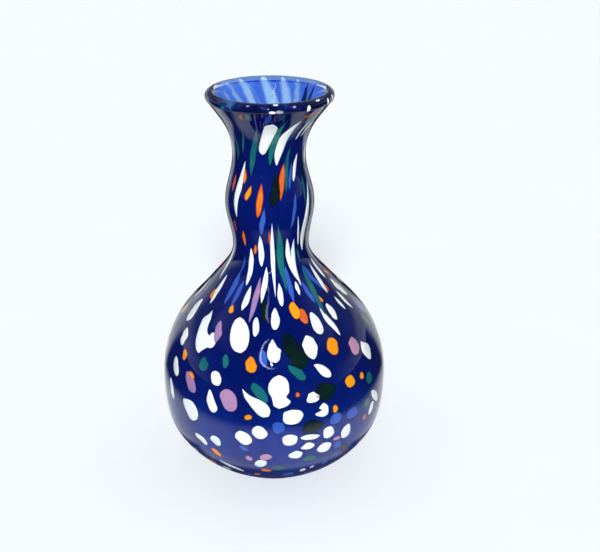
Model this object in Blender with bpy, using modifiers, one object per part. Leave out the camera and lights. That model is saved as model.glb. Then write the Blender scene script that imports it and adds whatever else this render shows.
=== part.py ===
"""Hand blown art glass vase: a cased vessel of layered glass.

A thin cobalt bubble is rolled over chips of coloured glass (frit) and gathered
again in a thick clear casing. Each chip lies in its own pocket in the inner
face of the casing, trapped against the cobalt bubble. The rolled lip belongs
to the bubble; the casing butts against the step under it.

Units are metres, +Z is up, the axis of the vessel is the Z axis and the foot
stands on Z = 0. Azimuth is in degrees: 0 faces -Y and it grows towards +X.
"""
import math

import bmesh
import bpy

MM = 0.001

# --- driving dimensions, millimetres ---------------------------------------
HEIGHT = 187.4            # foot to the top of the rolled lip
LIP_RADIUS = 25.2         # centre line of the rolled lip
LIP_ROLL = 2.35           # half the thickness of the rolled lip
FOOT_RADIUS = 20.5        # outside edge of the flat foot ring
PONTIL_RADIUS = 11.0      # polished hollow where the pontil rod was broken off
PONTIL_DEPTH = 1.0
CASING_WALL = 2.6         # clear casing, body and neck
CASING_HEEL = 5.0         # extra clear glass added towards the foot
HEEL_HEIGHT = 20.0        # where the extra glass starts
BUBBLE_WALL = 1.2         # cobalt layer
FIT = 0.3                 # clearance between neighbouring pieces of glass
CASING_TOP = 181.0        # height where the casing ends under the lip
CHIP_BED = 0.1            # chip's underside above the casing's inner face
CHIP_TOP = 1.0            # chip's crown above the casing's inner face

SEGMENTS = 36             # sides of every turned surface
SAG = 0.14                # how far a flat facet may stray from the curve

# Outside of the vessel: height, radius. Foot, heel, belly (108 across),
# shoulder, waist, collar bulge, throat and flare.
PROFILE = [
    (0.0, FOOT_RADIUS), (1.0, 24.0), (6.0, 31.2), (14.0, 41.2), (22.0, 48.0),
    (30.0, 52.1), (38.0, 53.6), (46.0, 54.0), (54.0, 53.8), (62.0, 52.6),
    (70.0, 50.0), (78.0, 45.8), (86.0, 39.8), (93.0, 33.3), (99.0, 28.2),
    (104.0, 23.9), (109.0, 19.9), (114.0, 17.6), (120.0, 17.3), (127.0, 18.5),
    (134.0, 19.9), (141.0, 19.8), (148.0, 18.1), (155.0, 16.4), (162.0, 16.1),
    (168.0, 17.2), (174.0, 20.0), (180.0, 24.3), (184.0, 27.2),
]

# --- colours of the glass: base colour, roughness, alpha -------------------
GLASS = {
    "clear": ((0.86, 0.90, 0.92), 0.02, 0.30),
    "cobalt": ((0.010, 0.025, 0.400), 0.03, 0.85),
    "white": ((0.86, 0.90, 0.90), 0.12, 1.0),
    "orange": ((0.85, 0.30, 0.03), 0.12, 1.0),
    "red": ((0.70, 0.10, 0.03), 0.12, 1.0),
    "teal": ((0.02, 0.20, 0.20), 0.12, 1.0),
    "mauve": ((0.42, 0.25, 0.42), 0.12, 1.0),
    "black": ((0.005, 0.012, 0.015), 0.12, 1.0),
    "blue": ((0.08, 0.19, 0.72), 0.12, 1.0),
}

# --- the chips -------------------------------------------------------------
# colour, top end (azimuth, height), bottom end (azimuth, height), width and,
# for a bent streak, the azimuth half way. Heights and widths in millimetres.
CHIPS = [
    # shoulder and belly, facing -Y
    ("white", (-28, 92), (-20.5, 80.5), 8.8),
    ("white", (-56, 90.5), (-48, 75.5), 6.8),
    ("white", (-77, 90.5), (-75, 81), 5.4),
    ("white", (2, 96.5), (1, 89), 3.8),
    ("white", (-1, 86), (1, 78), 5.4),
    ("white", (2.5, 73.5), (2, 60), 8.4),
    ("white", (33, 93), (34, 85), 4.8),
    ("white", (43, 93.5), (47, 82), 2.8),
    ("white", (22.5, 86), (23.5, 77.5), 6.4),
    ("white", (61, 75.5), (63, 66.5), 6.4),
    ("white", (22.5, 75.5), (31, 69.5), 4.0),
    ("white", (24.5, 59.5), (24, 53), 6.0),
    ("white", (28, 47), (26, 41), 5.6),
    ("white", (39.5, 44), (36, 37.5), 5.8),
    ("white", (8.5, 59), (8.5, 52), 8.6),
    ("white", (7, 47), (7, 41), 6.6),
    ("white", (25.5, 38.8), (25, 33.3), 7.0),
    ("white", (-34.5, 64), (-31, 54), 5.0),
    ("white", (-52, 53), (-42, 47), 7.0),
    ("white", (-16.5, 67.5), (-3, 56.5), 5.8),
    ("white", (-9, 51.5), (-6, 45), 6.2),
    ("white", (-17.5, 48), (-13.5, 41), 6.6),
    ("white", (-34.5, 71.5), (-29.5, 66.8), 5.2),
    ("white", (-66, 68), (-60, 61), 5.0),
    ("orange", (18, 98), (18.5, 92), 4.0),
    ("red", (26, 95), (26, 90), 3.6),
    ("orange", (38.5, 83), (38, 76.5), 6.2),
    ("orange", (42.5, 67), (42, 61.5), 5.8),
    ("orange", (-14, 80), (-12, 74), 5.2),
    ("orange", (-60, 73.5), (-57, 69.5), 3.6),
    ("mauve", (55, 79.5), (52, 72.5), 6.8),
    ("mauve", (-26, 66), (-20.5, 57), 6.8),
    ("teal", (-43, 75.5), (-40.5, 70), 5.4),
    ("teal", (57, 63), (57, 57), 5.4),
    ("black", (9.5, 87), (15.5, 75.5), 6.6),
    ("black", (24.5, 67), (27.5, 61.5), 6.8),
    ("black", (18, 52), (18, 46.5), 8.4),
    ("blue", (42, 52), (42, 46), 7.2),
    # neck and flare, facing -Y
    ("white", (5, 177), (-13, 165), 4.0),
    ("teal", (19, 180), (3.5, 159), 2.6, 8),
    ("white", (34, 179), (14, 159), 2.8, 20),
    ("white", (-43.5, 158), (-52, 134), 2.6, -52),
    ("orange", (-12.5, 150), (-17.5, 136), 2.6),
    ("red", (24.5, 156), (14.5, 143), 2.2),
    ("black", (10, 154.5), (2.5, 140.5), 2.6),
    ("white", (64, 146), (60, 116), 2.8, 57),
    ("white", (2.5, 133.5), (3, 100), 1.9),
    # far side, facing +Y
    ("white", (118, 84), (124, 71), 7.2),
    ("orange", (150, 66), (152, 58), 6.0),
    ("white", (176, 60), (170, 49), 7.6),
    ("mauve", (-148, 80), (-152, 71), 6.2),
    ("white", (-118, 58), (-112, 47), 6.4),
    ("teal", (-100, 76), (-104, 67), 5.2),
    ("black", (104, 52), (98, 43), 6.6),
    ("white", (158, 172), (148, 156), 3.2),
    ("white", (-132, 148), (-140, 128), 2.8),
]


# --- the turned profile ----------------------------------------------------
def spline(points):
    """Smooth curve through (height, radius) stations, as radius and slope."""
    xs = [p[0] for p in points]
    ys = [p[1] for p in points]
    tangents = []
    for i in range(len(xs)):
        if i == 0:
            tangents.append((ys[1] - ys[0]) / (xs[1] - xs[0]))
        elif i == len(xs) - 1:
            tangents.append((ys[-1] - ys[-2]) / (xs[-1] - xs[-2]))
        else:
            h0, h1 = xs[i] - xs[i - 1], xs[i + 1] - xs[i]
            d0, d1 = (ys[i] - ys[i - 1]) / h0, (ys[i + 1] - ys[i]) / h1
            tangents.append((h1 * d0 + h0 * d1) / (h0 + h1))

    def value(z):
        z = min(max(z, xs[0]), xs[-1])
        i = max(k for k in range(len(xs) - 1) if xs[k] <= z)
        h = xs[i + 1] - xs[i]
        t = (z - xs[i]) / h
        a, b = (1 + 2 * t) * (1 - t) ** 2, t * (1 - t) ** 2
        c, d = t * t * (3 - 2 * t), t * t * (t - 1)
        r = a * ys[i] + b * h * tangents[i] + c * ys[i + 1] + d * h * tangents[i + 1]
        da, db = 6 * t * t - 6 * t, 3 * t * t - 4 * t + 1
        dd = 3 * t * t - 2 * t
        slope = (da * ys[i] - da * ys[i + 1]) / h + db * tangents[i] + dd * tangents[i + 1]
        return r, slope
    return value


outside = spline(PROFILE)


def casing_wall(z):
    heel = max(0.0, 1.0 - z / HEEL_HEIGHT)
    return CASING_WALL + CASING_HEEL * heel ** 2


def layer(z, depth):
    """Point a given depth of cobalt or gap below the casing's inner face."""
    r, slope = outside(z)
    q = math.hypot(1.0, slope)
    t = casing_wall(z) + depth
    return r - t / q, z + t * slope / q


def skin(z):
    return outside(z)[0], z


def stations(top):
    """Heights of the turned facets: closer together where the curve bends."""
    z, rows = 1.0, [0.0, 1.0]
    while z < top:
        step = 0.5
        while step < 9.0:
            mid, end = z + step / 2, z + step
            r0, r1, rm = outside(z)[0], outside(min(end, top))[0], outside(min(mid, top))[0]
            tilt = math.hypot(1.0, (r1 - r0) / step)
            if abs((r0 + r1) / 2 - rm) / tilt > SAG:
                break
            step += 0.25
        z += step
        rows.append(min(z, top))
    if rows[-1] - rows[-2] < 1.5:
        rows.pop(-2)
    return rows


ROWS = stations(CASING_TOP)
FLOOR = layer(0.0, 0.0)[1] - 0.4        # casing's inner floor on the axis

# the casing's inner face as radius against height, finely sampled
INNER = [layer(0.25 * k, 0.0) for k in range(int(CASING_TOP / 0.25) + 1)]


def bed(z):
    """Radius and slope of the casing's inner face at a height."""
    for (r0, z0), (r1, z1) in zip(INNER, INNER[1:]):
        if z0 <= z <= z1:
            t = (z - z0) / (z1 - z0)
            return r0 + t * (r1 - r0), (r1 - r0) / (z1 - z0)
    return INNER[-1][0], outside(CASING_TOP)[1]


# --- scene -----------------------------------------------------------------
for old in list(bpy.data.objects):
    bpy.data.objects.remove(old, do_unlink=True)

vase = bpy.data.collections.new("art_glass_vase")
cutters = bpy.data.collections.new("chip_pocket_cutters")
bpy.context.scene.collection.children.link(vase)
bpy.context.scene.collection.children.link(cutters)


def glass(name):
    colour, rough, alpha = GLASS[name]
    mat = bpy.data.materials.get(name + "_glass") or bpy.data.materials.new(name + "_glass")
    mat.use_nodes = True
    bsdf = mat.node_tree.nodes["Principled BSDF"]
    bsdf.inputs["Base Color"].default_value = (*colour, 1.0)
    bsdf.inputs["Roughness"].default_value = rough
    bsdf.inputs["Metallic"].default_value = 0.0
    bsdf.inputs["IOR"].default_value = 1.5
    bsdf.inputs["Alpha"].default_value = alpha
    mat.diffuse_color = (*colour, alpha)
    return mat


def turned(name, profile, material):
    """Solid of revolution from a half section, listed from the axis inside
    the vessel up to the lip and down the outer side back to the axis."""
    mesh = bpy.data.meshes.new(name)
    points = [(r * MM, 0.0, z * MM) for r, z in profile]
    mesh.from_pydata(points, [(i, i + 1) for i in range(len(points) - 1)], [])
    obj = bpy.data.objects.new(name, mesh)
    vase.objects.link(obj)
    mesh.materials.append(glass(material))
    screw = obj.modifiers.new("turn", "SCREW")
    screw.axis = "Z"
    screw.angle = 2 * math.pi
    screw.steps = SEGMENTS
    screw.render_steps = SEGMENTS
    screw.use_merge_vertices = True
    screw.merge_threshold = 0.00001
    screw.use_smooth_shade = True
    return obj


# --- cobalt bubble with the rolled lip -------------------------------------
def lip_roll(start, end, count):
    """Arc of the rolled lip, angles in degrees from +X, counter-clockwise."""
    centre_z = HEIGHT - LIP_ROLL
    for k in range(count + 1):
        a = math.radians(start + (end - start) * k / count)
        yield LIP_RADIUS + LIP_ROLL * math.cos(a), centre_z + LIP_ROLL * math.sin(a)


def bubble_profile():
    # the inside flares straight up to the crest of the lip; the roll stands
    # outwards only
    inside = [(0.0, FLOOR + FIT + BUBBLE_WALL)]
    inside += [layer(z, FIT + BUBBLE_WALL) for z in ROWS if z < CASING_TOP - 3.0]
    roll = list(lip_roll(118, -32, 8))
    shoulder = CASING_TOP + FIT
    outer = [skin(shoulder), layer(shoulder, FIT)]
    outer += [layer(z, FIT) for z in reversed(ROWS) if z < CASING_TOP - 1.0]
    return inside + roll + outer + [(0.0, FLOOR + FIT)]


def casing_profile():
    inner = [(0.0, FLOOR)] + [layer(z, 0.0) for z in ROWS]
    outer = [skin(z) for z in reversed(ROWS)]
    foot = [(PONTIL_RADIUS, 0.0), (PONTIL_RADIUS * 0.8, PONTIL_DEPTH * 0.6),
            (0.0, PONTIL_DEPTH)]
    return inner + outer + foot


bubble = turned("cobalt_bubble", bubble_profile(), "cobalt")
casing = turned("clear_casing", casing_profile(), "clear")


# --- chips and their pockets -----------------------------------------------
def on_bed(azimuth, z, lift):
    """Point a given height above the casing's inner face."""
    r, slope = bed(z)
    q = math.hypot(1.0, slope)
    rr, zz = r + lift / q, z - lift * slope / q
    a = math.radians(azimuth)
    return rr * math.sin(a) * MM, -rr * math.cos(a) * MM, zz * MM


def pebble(name, chip, grow, under, crown, collection, material=None):
    """A flat pebble of glass laid on the casing's inner face. It starts as a
    sphere whose poles are the chip's two ends."""
    top, bottom, width = chip[1], chip[2], chip[3]
    half_turn = (top[0] + bottom[0]) / 2
    middle = chip[4] if len(chip) > 4 else half_turn
    z_mid = (top[1] + bottom[1]) / 2
    r_mid, slope_mid = bed(z_mid)
    q = math.hypot(1.0, slope_mid)
    # length along the glass and the direction of the chip's axis there
    across = math.radians(top[0] - bottom[0]) * r_mid
    along = (top[1] - bottom[1]) * q
    length = math.hypot(across, along)
    stretch = (length / 2 + grow) / (length / 2)
    half = width / 2 + grow
    rings = max(4, min(12, round(length / 2.9)))
    bm = bmesh.new()
    bmesh.ops.create_uvsphere(bm, u_segments=6, v_segments=rings, radius=1.0)
    for v in bm.verts:
        side, up, lengthwise = v.co.x, v.co.y, v.co.z
        t = lengthwise * stretch
        azimuth = middle + t * (top[0] - bottom[0]) / 2 + (half_turn - middle) * t * t
        z = z_mid + t * (top[1] - bottom[1]) / 2
        r, slope = bed(z)
        # step sideways, square to the chip's axis on the glass
        azimuth += math.degrees(side * half * (along / length) / r)
        z -= side * half * (across / length) / math.hypot(1.0, slope)
        lift = CHIP_BED + 0.15 + up * ((crown - CHIP_BED - 0.15) if up > 0 else under)
        v.co = on_bed(azimuth, z, lift)
    bm.normal_update()
    bmesh.ops.recalc_face_normals(bm, faces=bm.faces)
    mesh = bpy.data.meshes.new(name)
    bm.to_mesh(mesh)
    bm.free()
    obj = bpy.data.objects.new(name, mesh)
    collection.objects.link(obj)
    if material:
        mesh.materials.append(material)
        mesh.shade_smooth()
    return obj


counts = {}
for chip in CHIPS:
    colour = chip[0]
    counts[colour] = counts.get(colour, 0) + 1
    label = "%s_chip_%02d" % (colour, counts[colour])
    pebble(label, chip, 0.0, 0.15, CHIP_TOP, vase, glass(colour))
    pocket = pebble("cut_" + label, chip, 0.38, 2.0, CHIP_TOP + 0.35, cutters)
    pocket.hide_render = True
    pocket.display_type = "WIRE"

cut = casing.modifiers.new("chip_pockets", "BOOLEAN")
cut.operation = "DIFFERENCE"
cut.solver = "EXACT"
cut.operand_type = "COLLECTION"
cut.collection = cutters
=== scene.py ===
"""Hand blown art glass vase: the looks.

Layered glass, from the outside in: a thick clear casing, chips of opaque
coloured glass (frit), and a thin transparent cobalt bubble whose edge is the
rolled lip. Optically it is one wall of glass: the outside of the casing, the
inside of the bubble and the lip bend light, and the faces where one layer
meets the next only pass it on, tinted by the cobalt.
"""
import math
import random

import bmesh
import bpy
import numpy as np
from mathutils import Matrix, Vector


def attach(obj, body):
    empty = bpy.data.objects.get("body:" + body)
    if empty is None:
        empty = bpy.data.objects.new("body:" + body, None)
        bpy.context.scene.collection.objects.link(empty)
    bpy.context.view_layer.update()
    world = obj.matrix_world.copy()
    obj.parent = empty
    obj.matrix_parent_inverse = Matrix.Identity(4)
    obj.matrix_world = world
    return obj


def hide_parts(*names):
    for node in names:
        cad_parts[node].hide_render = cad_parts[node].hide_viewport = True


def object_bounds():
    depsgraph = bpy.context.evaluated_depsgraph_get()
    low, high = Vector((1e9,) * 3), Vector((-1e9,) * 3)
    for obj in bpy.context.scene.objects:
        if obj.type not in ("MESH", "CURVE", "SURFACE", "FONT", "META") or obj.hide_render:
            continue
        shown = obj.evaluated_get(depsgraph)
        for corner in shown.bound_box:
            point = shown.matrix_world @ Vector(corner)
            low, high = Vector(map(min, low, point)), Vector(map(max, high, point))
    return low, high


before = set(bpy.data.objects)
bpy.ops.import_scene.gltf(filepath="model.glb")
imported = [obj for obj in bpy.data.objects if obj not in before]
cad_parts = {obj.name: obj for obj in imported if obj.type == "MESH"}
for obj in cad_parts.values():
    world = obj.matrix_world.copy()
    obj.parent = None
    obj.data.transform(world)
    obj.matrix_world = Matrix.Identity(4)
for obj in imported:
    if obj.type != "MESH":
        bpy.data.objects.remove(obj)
cad_low, cad_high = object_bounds()

MM = 0.001
rng = random.Random(20)

# --- the vase's own dimensions, millimetres, as in the part ----------------
HEIGHT = (cad_high[2] - cad_low[2]) / MM
LIP_RADIUS = 25.2
LIP_ROLL = 2.35
FOOT_RADIUS = 20.5
PONTIL_RADIUS = 11.0
PONTIL_DEPTH = 1.0
CASING_WALL = 2.6
CASING_HEEL = 5.0
HEEL_HEIGHT = 20.0
BUBBLE_WALL = 1.2
CASING_TOP = 183.4        # worked up under the roll of the lip
CHIP_ROOM = 1.15          # room that the chips take between the two layers
SEAM = 0.02               # play between the two layers

PROFILE = [
    (0.0, FOOT_RADIUS), (1.0, 24.0), (6.0, 31.2), (14.0, 41.2), (22.0, 48.0),
    (30.0, 52.1), (38.0, 53.6), (46.0, 54.0), (54.0, 53.8), (62.0, 52.6),
    (70.0, 50.0), (78.0, 45.8), (86.0, 39.8), (93.0, 33.3), (99.0, 28.2),
    (104.0, 23.9), (109.0, 19.9), (114.0, 17.6), (120.0, 17.3), (127.0, 18.5),
    (134.0, 19.9), (141.0, 19.8), (148.0, 18.1), (155.0, 16.4), (162.0, 16.1),
    (168.0, 17.2), (174.0, 20.0), (180.0, 24.3), (184.0, 27.2),
]

# how far the axis leans sideways as it was blown: height, millimetres along X
LEAN = [(0, 0.0), (60, 0.1), (90, -0.1), (115, -0.8), (140, -1.1), (160, -1.2),
        (176, -0.9), (188, -0.5)]


def spline(points):
    xs = [p[0] for p in points]
    ys = [p[1] for p in points]
    n = len(xs)
    tan = []
    for i in range(n):
        if i == 0:
            tan.append((ys[1] - ys[0]) / (xs[1] - xs[0]))
        elif i == n - 1:
            tan.append((ys[-1] - ys[-2]) / (xs[-1] - xs[-2]))
        else:
            h0, h1 = xs[i] - xs[i - 1], xs[i + 1] - xs[i]
            d0, d1 = (ys[i] - ys[i - 1]) / h0, (ys[i + 1] - ys[i]) / h1
            tan.append((h1 * d0 + h0 * d1) / (h0 + h1))

    def value(z):
        z = min(max(z, xs[0]), xs[-1])
        i = max(k for k in range(n - 1) if xs[k] <= z)
        h = xs[i + 1] - xs[i]
        t = (z - xs[i]) / h
        r = ((1 + 2 * t) * (1 - t) ** 2 * ys[i] + t * (1 - t) ** 2 * h * tan[i]
             + t * t * (3 - 2 * t) * ys[i + 1] + t * t * (t - 1) * h * tan[i + 1])
        d = 6 * t * t - 6 * t
        slope = d * (ys[i] - ys[i + 1]) / h + (3 * t * t - 4 * t + 1) * tan[i] + (
            3 * t * t - 2 * t) * tan[i + 1]
        return r, slope
    return value


outside_raw = spline(PROFILE)
lean_of = spline(LEAN)

# the stations leave faint ripples, so the curve is relaxed a little
FINE = 0.5
_zs = np.arange(0.0, 184.0 + FINE / 2, FINE)
_rs = np.array([outside_raw(z)[0] for z in _zs])
_smooth = _rs.copy()
for _ in range(24):
    _smooth[1:-1] = _smooth[1:-1] * 0.5 + 0.25 * (_smooth[:-2] + _smooth[2:])
_keep = np.clip((_zs - 3.0) / 6.0, 0, 1)          # the foot keeps its corner
_rs = _rs * (1 - _keep) + _smooth * _keep
_slopes = np.gradient(_rs, FINE)


def outside(z):
    return float(np.interp(z, _zs, _rs)), float(np.interp(z, _zs, _slopes))


def casing_wall(z):
    heel = max(0.0, 1.0 - z / HEEL_HEIGHT)
    return CASING_WALL + CASING_HEEL * heel ** 2


def layer(z, depth):
    """Point at a depth below the casing's inner face, square to the outside."""
    r, slope = outside(z)
    q = math.hypot(1.0, slope)
    t = casing_wall(z) + depth
    return r - t / q, z + t * slope / q


def skin(z):
    return outside(z)[0], z


BED = [layer(0.25 * k, 0.0) for k in range(int(184.0 / 0.25) + 1)]
BED_Z = np.array([p[1] for p in BED])
BED_R = np.array([p[0] for p in BED])
BED_S = np.gradient(BED_R, BED_Z)


def bed(z):
    return float(np.interp(z, BED_Z, BED_R)), float(np.interp(z, BED_Z, BED_S))


def hand(x, y, z):
    """The slight unevenness of hand work, the same for every layer: the axis
    leans, the round is a little oval and the belly a little lumpy."""
    a = math.atan2(x, -y)
    r = math.hypot(x, y)
    body = max(0.0, 1.0 - abs(z - 50) / 60)
    k = 1 + 0.0022 * math.sin(2 * a + 0.7 + z / 90) * body
    k += 0.0014 * math.sin(3 * a + z / 23)
    return x * k + lean_of(z)[0] * min(1.0, r / 5.0 + 0.2), y * k, z


def to_world(x, y, z):
    x, y, z = hand(x, y, z)
    return x * MM, y * MM, z * MM


# --- materials -------------------------------------------------------------
def new_material(name):
    mat = bpy.data.materials.new(name)
    mat.use_nodes = True
    nt = mat.node_tree
    nt.nodes.clear()
    out = nt.nodes.new("ShaderNodeOutputMaterial")
    return mat, nt, out


def node(nt, kind, **values):
    n = nt.nodes.new(kind)
    for key, value in values.items():
        if key in n.inputs:
            n.inputs[key].default_value = value
        else:
            setattr(n, key, value)
    return n


def coords(nt, scale):
    tc = nt.nodes.new("ShaderNodeTexCoord")
    mp = nt.nodes.new("ShaderNodeMapping")
    mp.inputs["Scale"].default_value = scale
    nt.links.new(tc.outputs["Object"], mp.inputs["Vector"])
    return mp.outputs["Vector"]


def ramp(nt, source, stops):
    r = nt.nodes.new("ShaderNodeValToRGB")
    els = r.color_ramp.elements
    while len(els) < len(stops):
        els.new(0.5)
    for e, (pos, col) in zip(els, stops):
        e.position = pos
        e.color = (*col, 1.0) if len(col) == 3 else col
    nt.links.new(source, r.inputs["Fac"])
    return r.outputs["Color"]


def noise(nt, scale, size, detail=2.0, rough=0.5, distort=0.0):
    n = nt.nodes.new("ShaderNodeTexNoise")
    n.inputs["Scale"].default_value = size
    n.inputs["Detail"].default_value = detail
    n.inputs["Roughness"].default_value = rough
    n.inputs["Distortion"].default_value = distort
    nt.links.new(coords(nt, scale), n.inputs["Vector"])
    return n


def lamp_pass(nt, surface, out, tint=None):
    """Glass lets the lamps' light through to what is behind it."""
    path = nt.nodes.new("ShaderNodeLightPath")
    clear = nt.nodes.new("ShaderNodeBsdfTransparent")
    if isinstance(tint, tuple):
        clear.inputs["Color"].default_value = (*tint, 1.0)
    elif tint is not None:
        nt.links.new(tint, clear.inputs["Color"])
    mix = nt.nodes.new("ShaderNodeMixShader")
    nt.links.new(path.outputs["Is Shadow Ray"], mix.inputs["Fac"])
    nt.links.new(surface, mix.inputs[1])
    nt.links.new(clear.outputs["BSDF"], mix.inputs[2])
    nt.links.new(mix.outputs["Shader"], out.inputs["Surface"])


def clear_glass(name):
    """The clear casing: a faint grey-green that drifts a little."""
    mat, nt, out = new_material(name)
    drift = noise(nt, (1, 1, 0.5), 30.0, 1.0)
    colour = ramp(nt, drift.outputs["Fac"], [(0.35, (0.93, 0.955, 0.965)), (0.65, (0.985, 0.99, 0.99))])
    g = smooth_glass(nt, colour, 0.012, 0.035, 0.35)
    lamp_pass(nt, g.outputs["BSDF"], out, (0.95, 0.96, 0.965))
    return mat


def contact(name):
    """Where one layer of glass meets the next: nothing bends, light passes."""
    mat, nt, out = new_material(name)
    t = node(nt, "ShaderNodeBsdfTransparent")
    faint = noise(nt, (1, 1, 1), 40.0, 1.0)
    nt.links.new(ramp(nt, faint.outputs["Fac"], [(0.4, (0.985, 0.99, 0.99)), (0.6, (1.0, 1.0, 1.0))]), t.inputs["Color"])
    nt.links.new(t.outputs["BSDF"], out.inputs["Surface"])
    return mat


def by_height(nt, stops, low=0.0, high=0.19):
    """Colour by height on the vase, stops at parts of low to high metres."""
    tc = nt.nodes.new("ShaderNodeTexCoord")
    sep = nt.nodes.new("ShaderNodeSeparateXYZ")
    nt.links.new(tc.outputs["Object"], sep.inputs[0])
    height = node(nt, "ShaderNodeMapRange")
    height.inputs["From Min"].default_value = low
    height.inputs["From Max"].default_value = high
    nt.links.new(sep.outputs["Z"], height.inputs["Value"])
    return ramp(nt, height.outputs["Result"], stops)


def times(nt, one, two):
    mul = node(nt, "ShaderNodeMix", data_type="RGBA", blend_type="MULTIPLY")
    mul.inputs[0].default_value = 1.0
    nt.links.new(one, mul.inputs[6])
    nt.links.new(two, mul.inputs[7])
    return mul.outputs[2]


def blend(nt, amount, one, two):
    mix = node(nt, "ShaderNodeMix", data_type="RGBA")
    if isinstance(amount, float):
        mix.inputs[0].default_value = amount
    else:
        nt.links.new(amount, mix.inputs[0])
    for socket, value in ((mix.inputs[6], one), (mix.inputs[7], two)):
        if isinstance(value, tuple):
            socket.default_value = (*value, 1.0)
        else:
            nt.links.new(value, socket)
    return mix.outputs[2]


def cobalt_layer(name):
    """The cobalt seen through the casing. It is so strongly coloured that it
    reads as nearly solid blue on the belly, and it thins and clears where the
    bubble was stretched into the flare. Long streaks run up the neck. Painted
    light and shade: the lower belly is painted a brighter blue, a painted
    reflection of the floor, and the face is darker seen from outside than from
    inside, painted shade outside and painted light inside."""
    mat, nt, out = new_material(name)
    streak = noise(nt, (1, 1, 0.16), 90.0, 3.0, 0.55, 0.4)
    spread = ramp(nt, streak.outputs["Fac"], [(0.30, (0.72, 0.74, 0.84)), (0.52, (1, 1, 1)), (0.74, (1.7, 1.5, 1.16))])
    cloud = noise(nt, (1, 1, 0.7), 24.0, 2.0, 0.5)
    depth = ramp(nt, cloud.outputs["Fac"], [(0.35, (0.85, 0.82, 0.88)), (0.65, (1.15, 1.2, 1.1))])
    # painted reflection: below about 60 mm the belly is painted a brighter blue, for the pale floor seen in the glass
    # and its light coming up through the glass
    body = by_height(nt, [
        (0.0, (0.0030, 0.0280, 0.260)), (0.23, (0.0020, 0.0200, 0.220)),
        (0.31, (0.0010, 0.0090, 0.130)), (0.50, (0.0007, 0.0060, 0.105)),
        (0.70, (0.0008, 0.0070, 0.125)), (0.88, (0.0010, 0.0072, 0.118)),
        (0.93, (0.0012, 0.0070, 0.105)), (1.0, (0.0010, 0.0055, 0.080))])
    solid = node(nt, "ShaderNodeBsdfDiffuse")
    nt.links.new(times(nt, times(nt, body, spread), depth), solid.inputs["Color"])
    clear_colour = by_height(nt, [
        (0.0, (0.060, 0.115, 0.52)), (0.20, (0.045, 0.090, 0.47)),
        (0.55, (0.030, 0.070, 0.42)), (0.84, (0.030, 0.080, 0.46)),
        (0.92, (0.050, 0.170, 0.80)), (0.97, (0.060, 0.205, 0.90))])
    press = nt.nodes.new("ShaderNodeAttribute")
    press.attribute_name = "pressed"
    clear = node(nt, "ShaderNodeBsdfTransparent")
    face = nt.nodes.new("ShaderNodeNewGeometry")
    path = nt.nodes.new("ShaderNodeLightPath")
    # seen from outside the face passes only a dark tint, and at the flare it is more solid; seen from inside it passes
    # a pale tint: painted shade on the outside, painted light on the inside
    within = node(nt, "ShaderNodeMath", operation="MAXIMUM")
    nt.links.new(face.outputs["Backfacing"], within.inputs[0])
    nt.links.new(path.outputs["Is Shadow Ray"], within.inputs[1])
    tint = blend(nt, within.outputs["Value"], (0.010, 0.026, 0.20), times(nt, clear_colour, spread))
    nt.links.new(blend(nt, press.outputs["Fac"], tint, (0.66, 0.82, 0.97)), clear.inputs["Color"])
    near = by_height(nt, [(0.0, (0.86,) * 3), (0.55, (0.90,) * 3), (0.90, (0.92,) * 3), (1.0, (0.80,) * 3)])
    far = by_height(nt, [(0.0, (0.84,) * 3), (0.55, (0.88,) * 3), (0.86, (0.90,) * 3), (0.915, (0.16,) * 3), (0.935, (0.03,) * 3)])
    amount = blend(nt, within.outputs["Value"], near, far)
    open_press = node(nt, "ShaderNodeMath", operation="MULTIPLY_ADD")
    nt.links.new(press.outputs["Fac"], open_press.inputs[0])
    open_press.inputs[1].default_value = -0.9
    open_press.inputs[2].default_value = 1.0
    factor = node(nt, "ShaderNodeMath", operation="MULTIPLY")
    nt.links.new(amount, factor.inputs[0])
    nt.links.new(open_press.outputs["Value"], factor.inputs[1])
    mix = nt.nodes.new("ShaderNodeMixShader")
    nt.links.new(factor.outputs["Value"], mix.inputs["Fac"])
    nt.links.new(clear.outputs["BSDF"], mix.inputs[1])
    nt.links.new(solid.outputs["BSDF"], mix.inputs[2])
    nt.links.new(mix.outputs["Shader"], out.inputs["Surface"])
    return mat


def smooth_glass(nt, colour, low=0.015, high=0.045, wave=0.25):
    """Fire polished surface: no grain, long soft waves, faint uneven gloss."""
    g = node(nt, "ShaderNodeBsdfPrincipled")
    g.inputs["Transmission Weight"].default_value = 1.0
    g.inputs["IOR"].default_value = 1.5
    nt.links.new(colour, g.inputs["Base Color"])
    rough = noise(nt, (1, 1, 1), 65.0, 2.0)
    rr = node(nt, "ShaderNodeMapRange")
    rr.inputs["To Min"].default_value = low
    rr.inputs["To Max"].default_value = high
    nt.links.new(rough.outputs["Fac"], rr.inputs["Value"])
    nt.links.new(rr.outputs["Result"], g.inputs["Roughness"])
    waves = noise(nt, (1, 1, 0.45), 55.0, 2.0, 0.45)
    bump = node(nt, "ShaderNodeBump")
    bump.inputs["Strength"].default_value = wave
    bump.inputs["Distance"].default_value = 0.0006
    nt.links.new(waves.outputs["Fac"], bump.inputs["Height"])
    nt.links.new(bump.outputs["Normal"], g.inputs["Normal"])
    return g


def cobalt_inside(name):
    mat, nt, out = new_material(name)
    depth = noise(nt, (1, 1, 0.3), 60.0, 2.0)
    colour = ramp(nt, depth.outputs["Fac"], [(0.35, (0.92, 0.95, 0.99)), (0.65, (0.98, 0.99, 1.0))])
    g = smooth_glass(nt, colour, 0.02, 0.05, 0.25)
    lamp_pass(nt, g.outputs["BSDF"], out, (0.96, 0.98, 1.0))
    return mat


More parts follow.
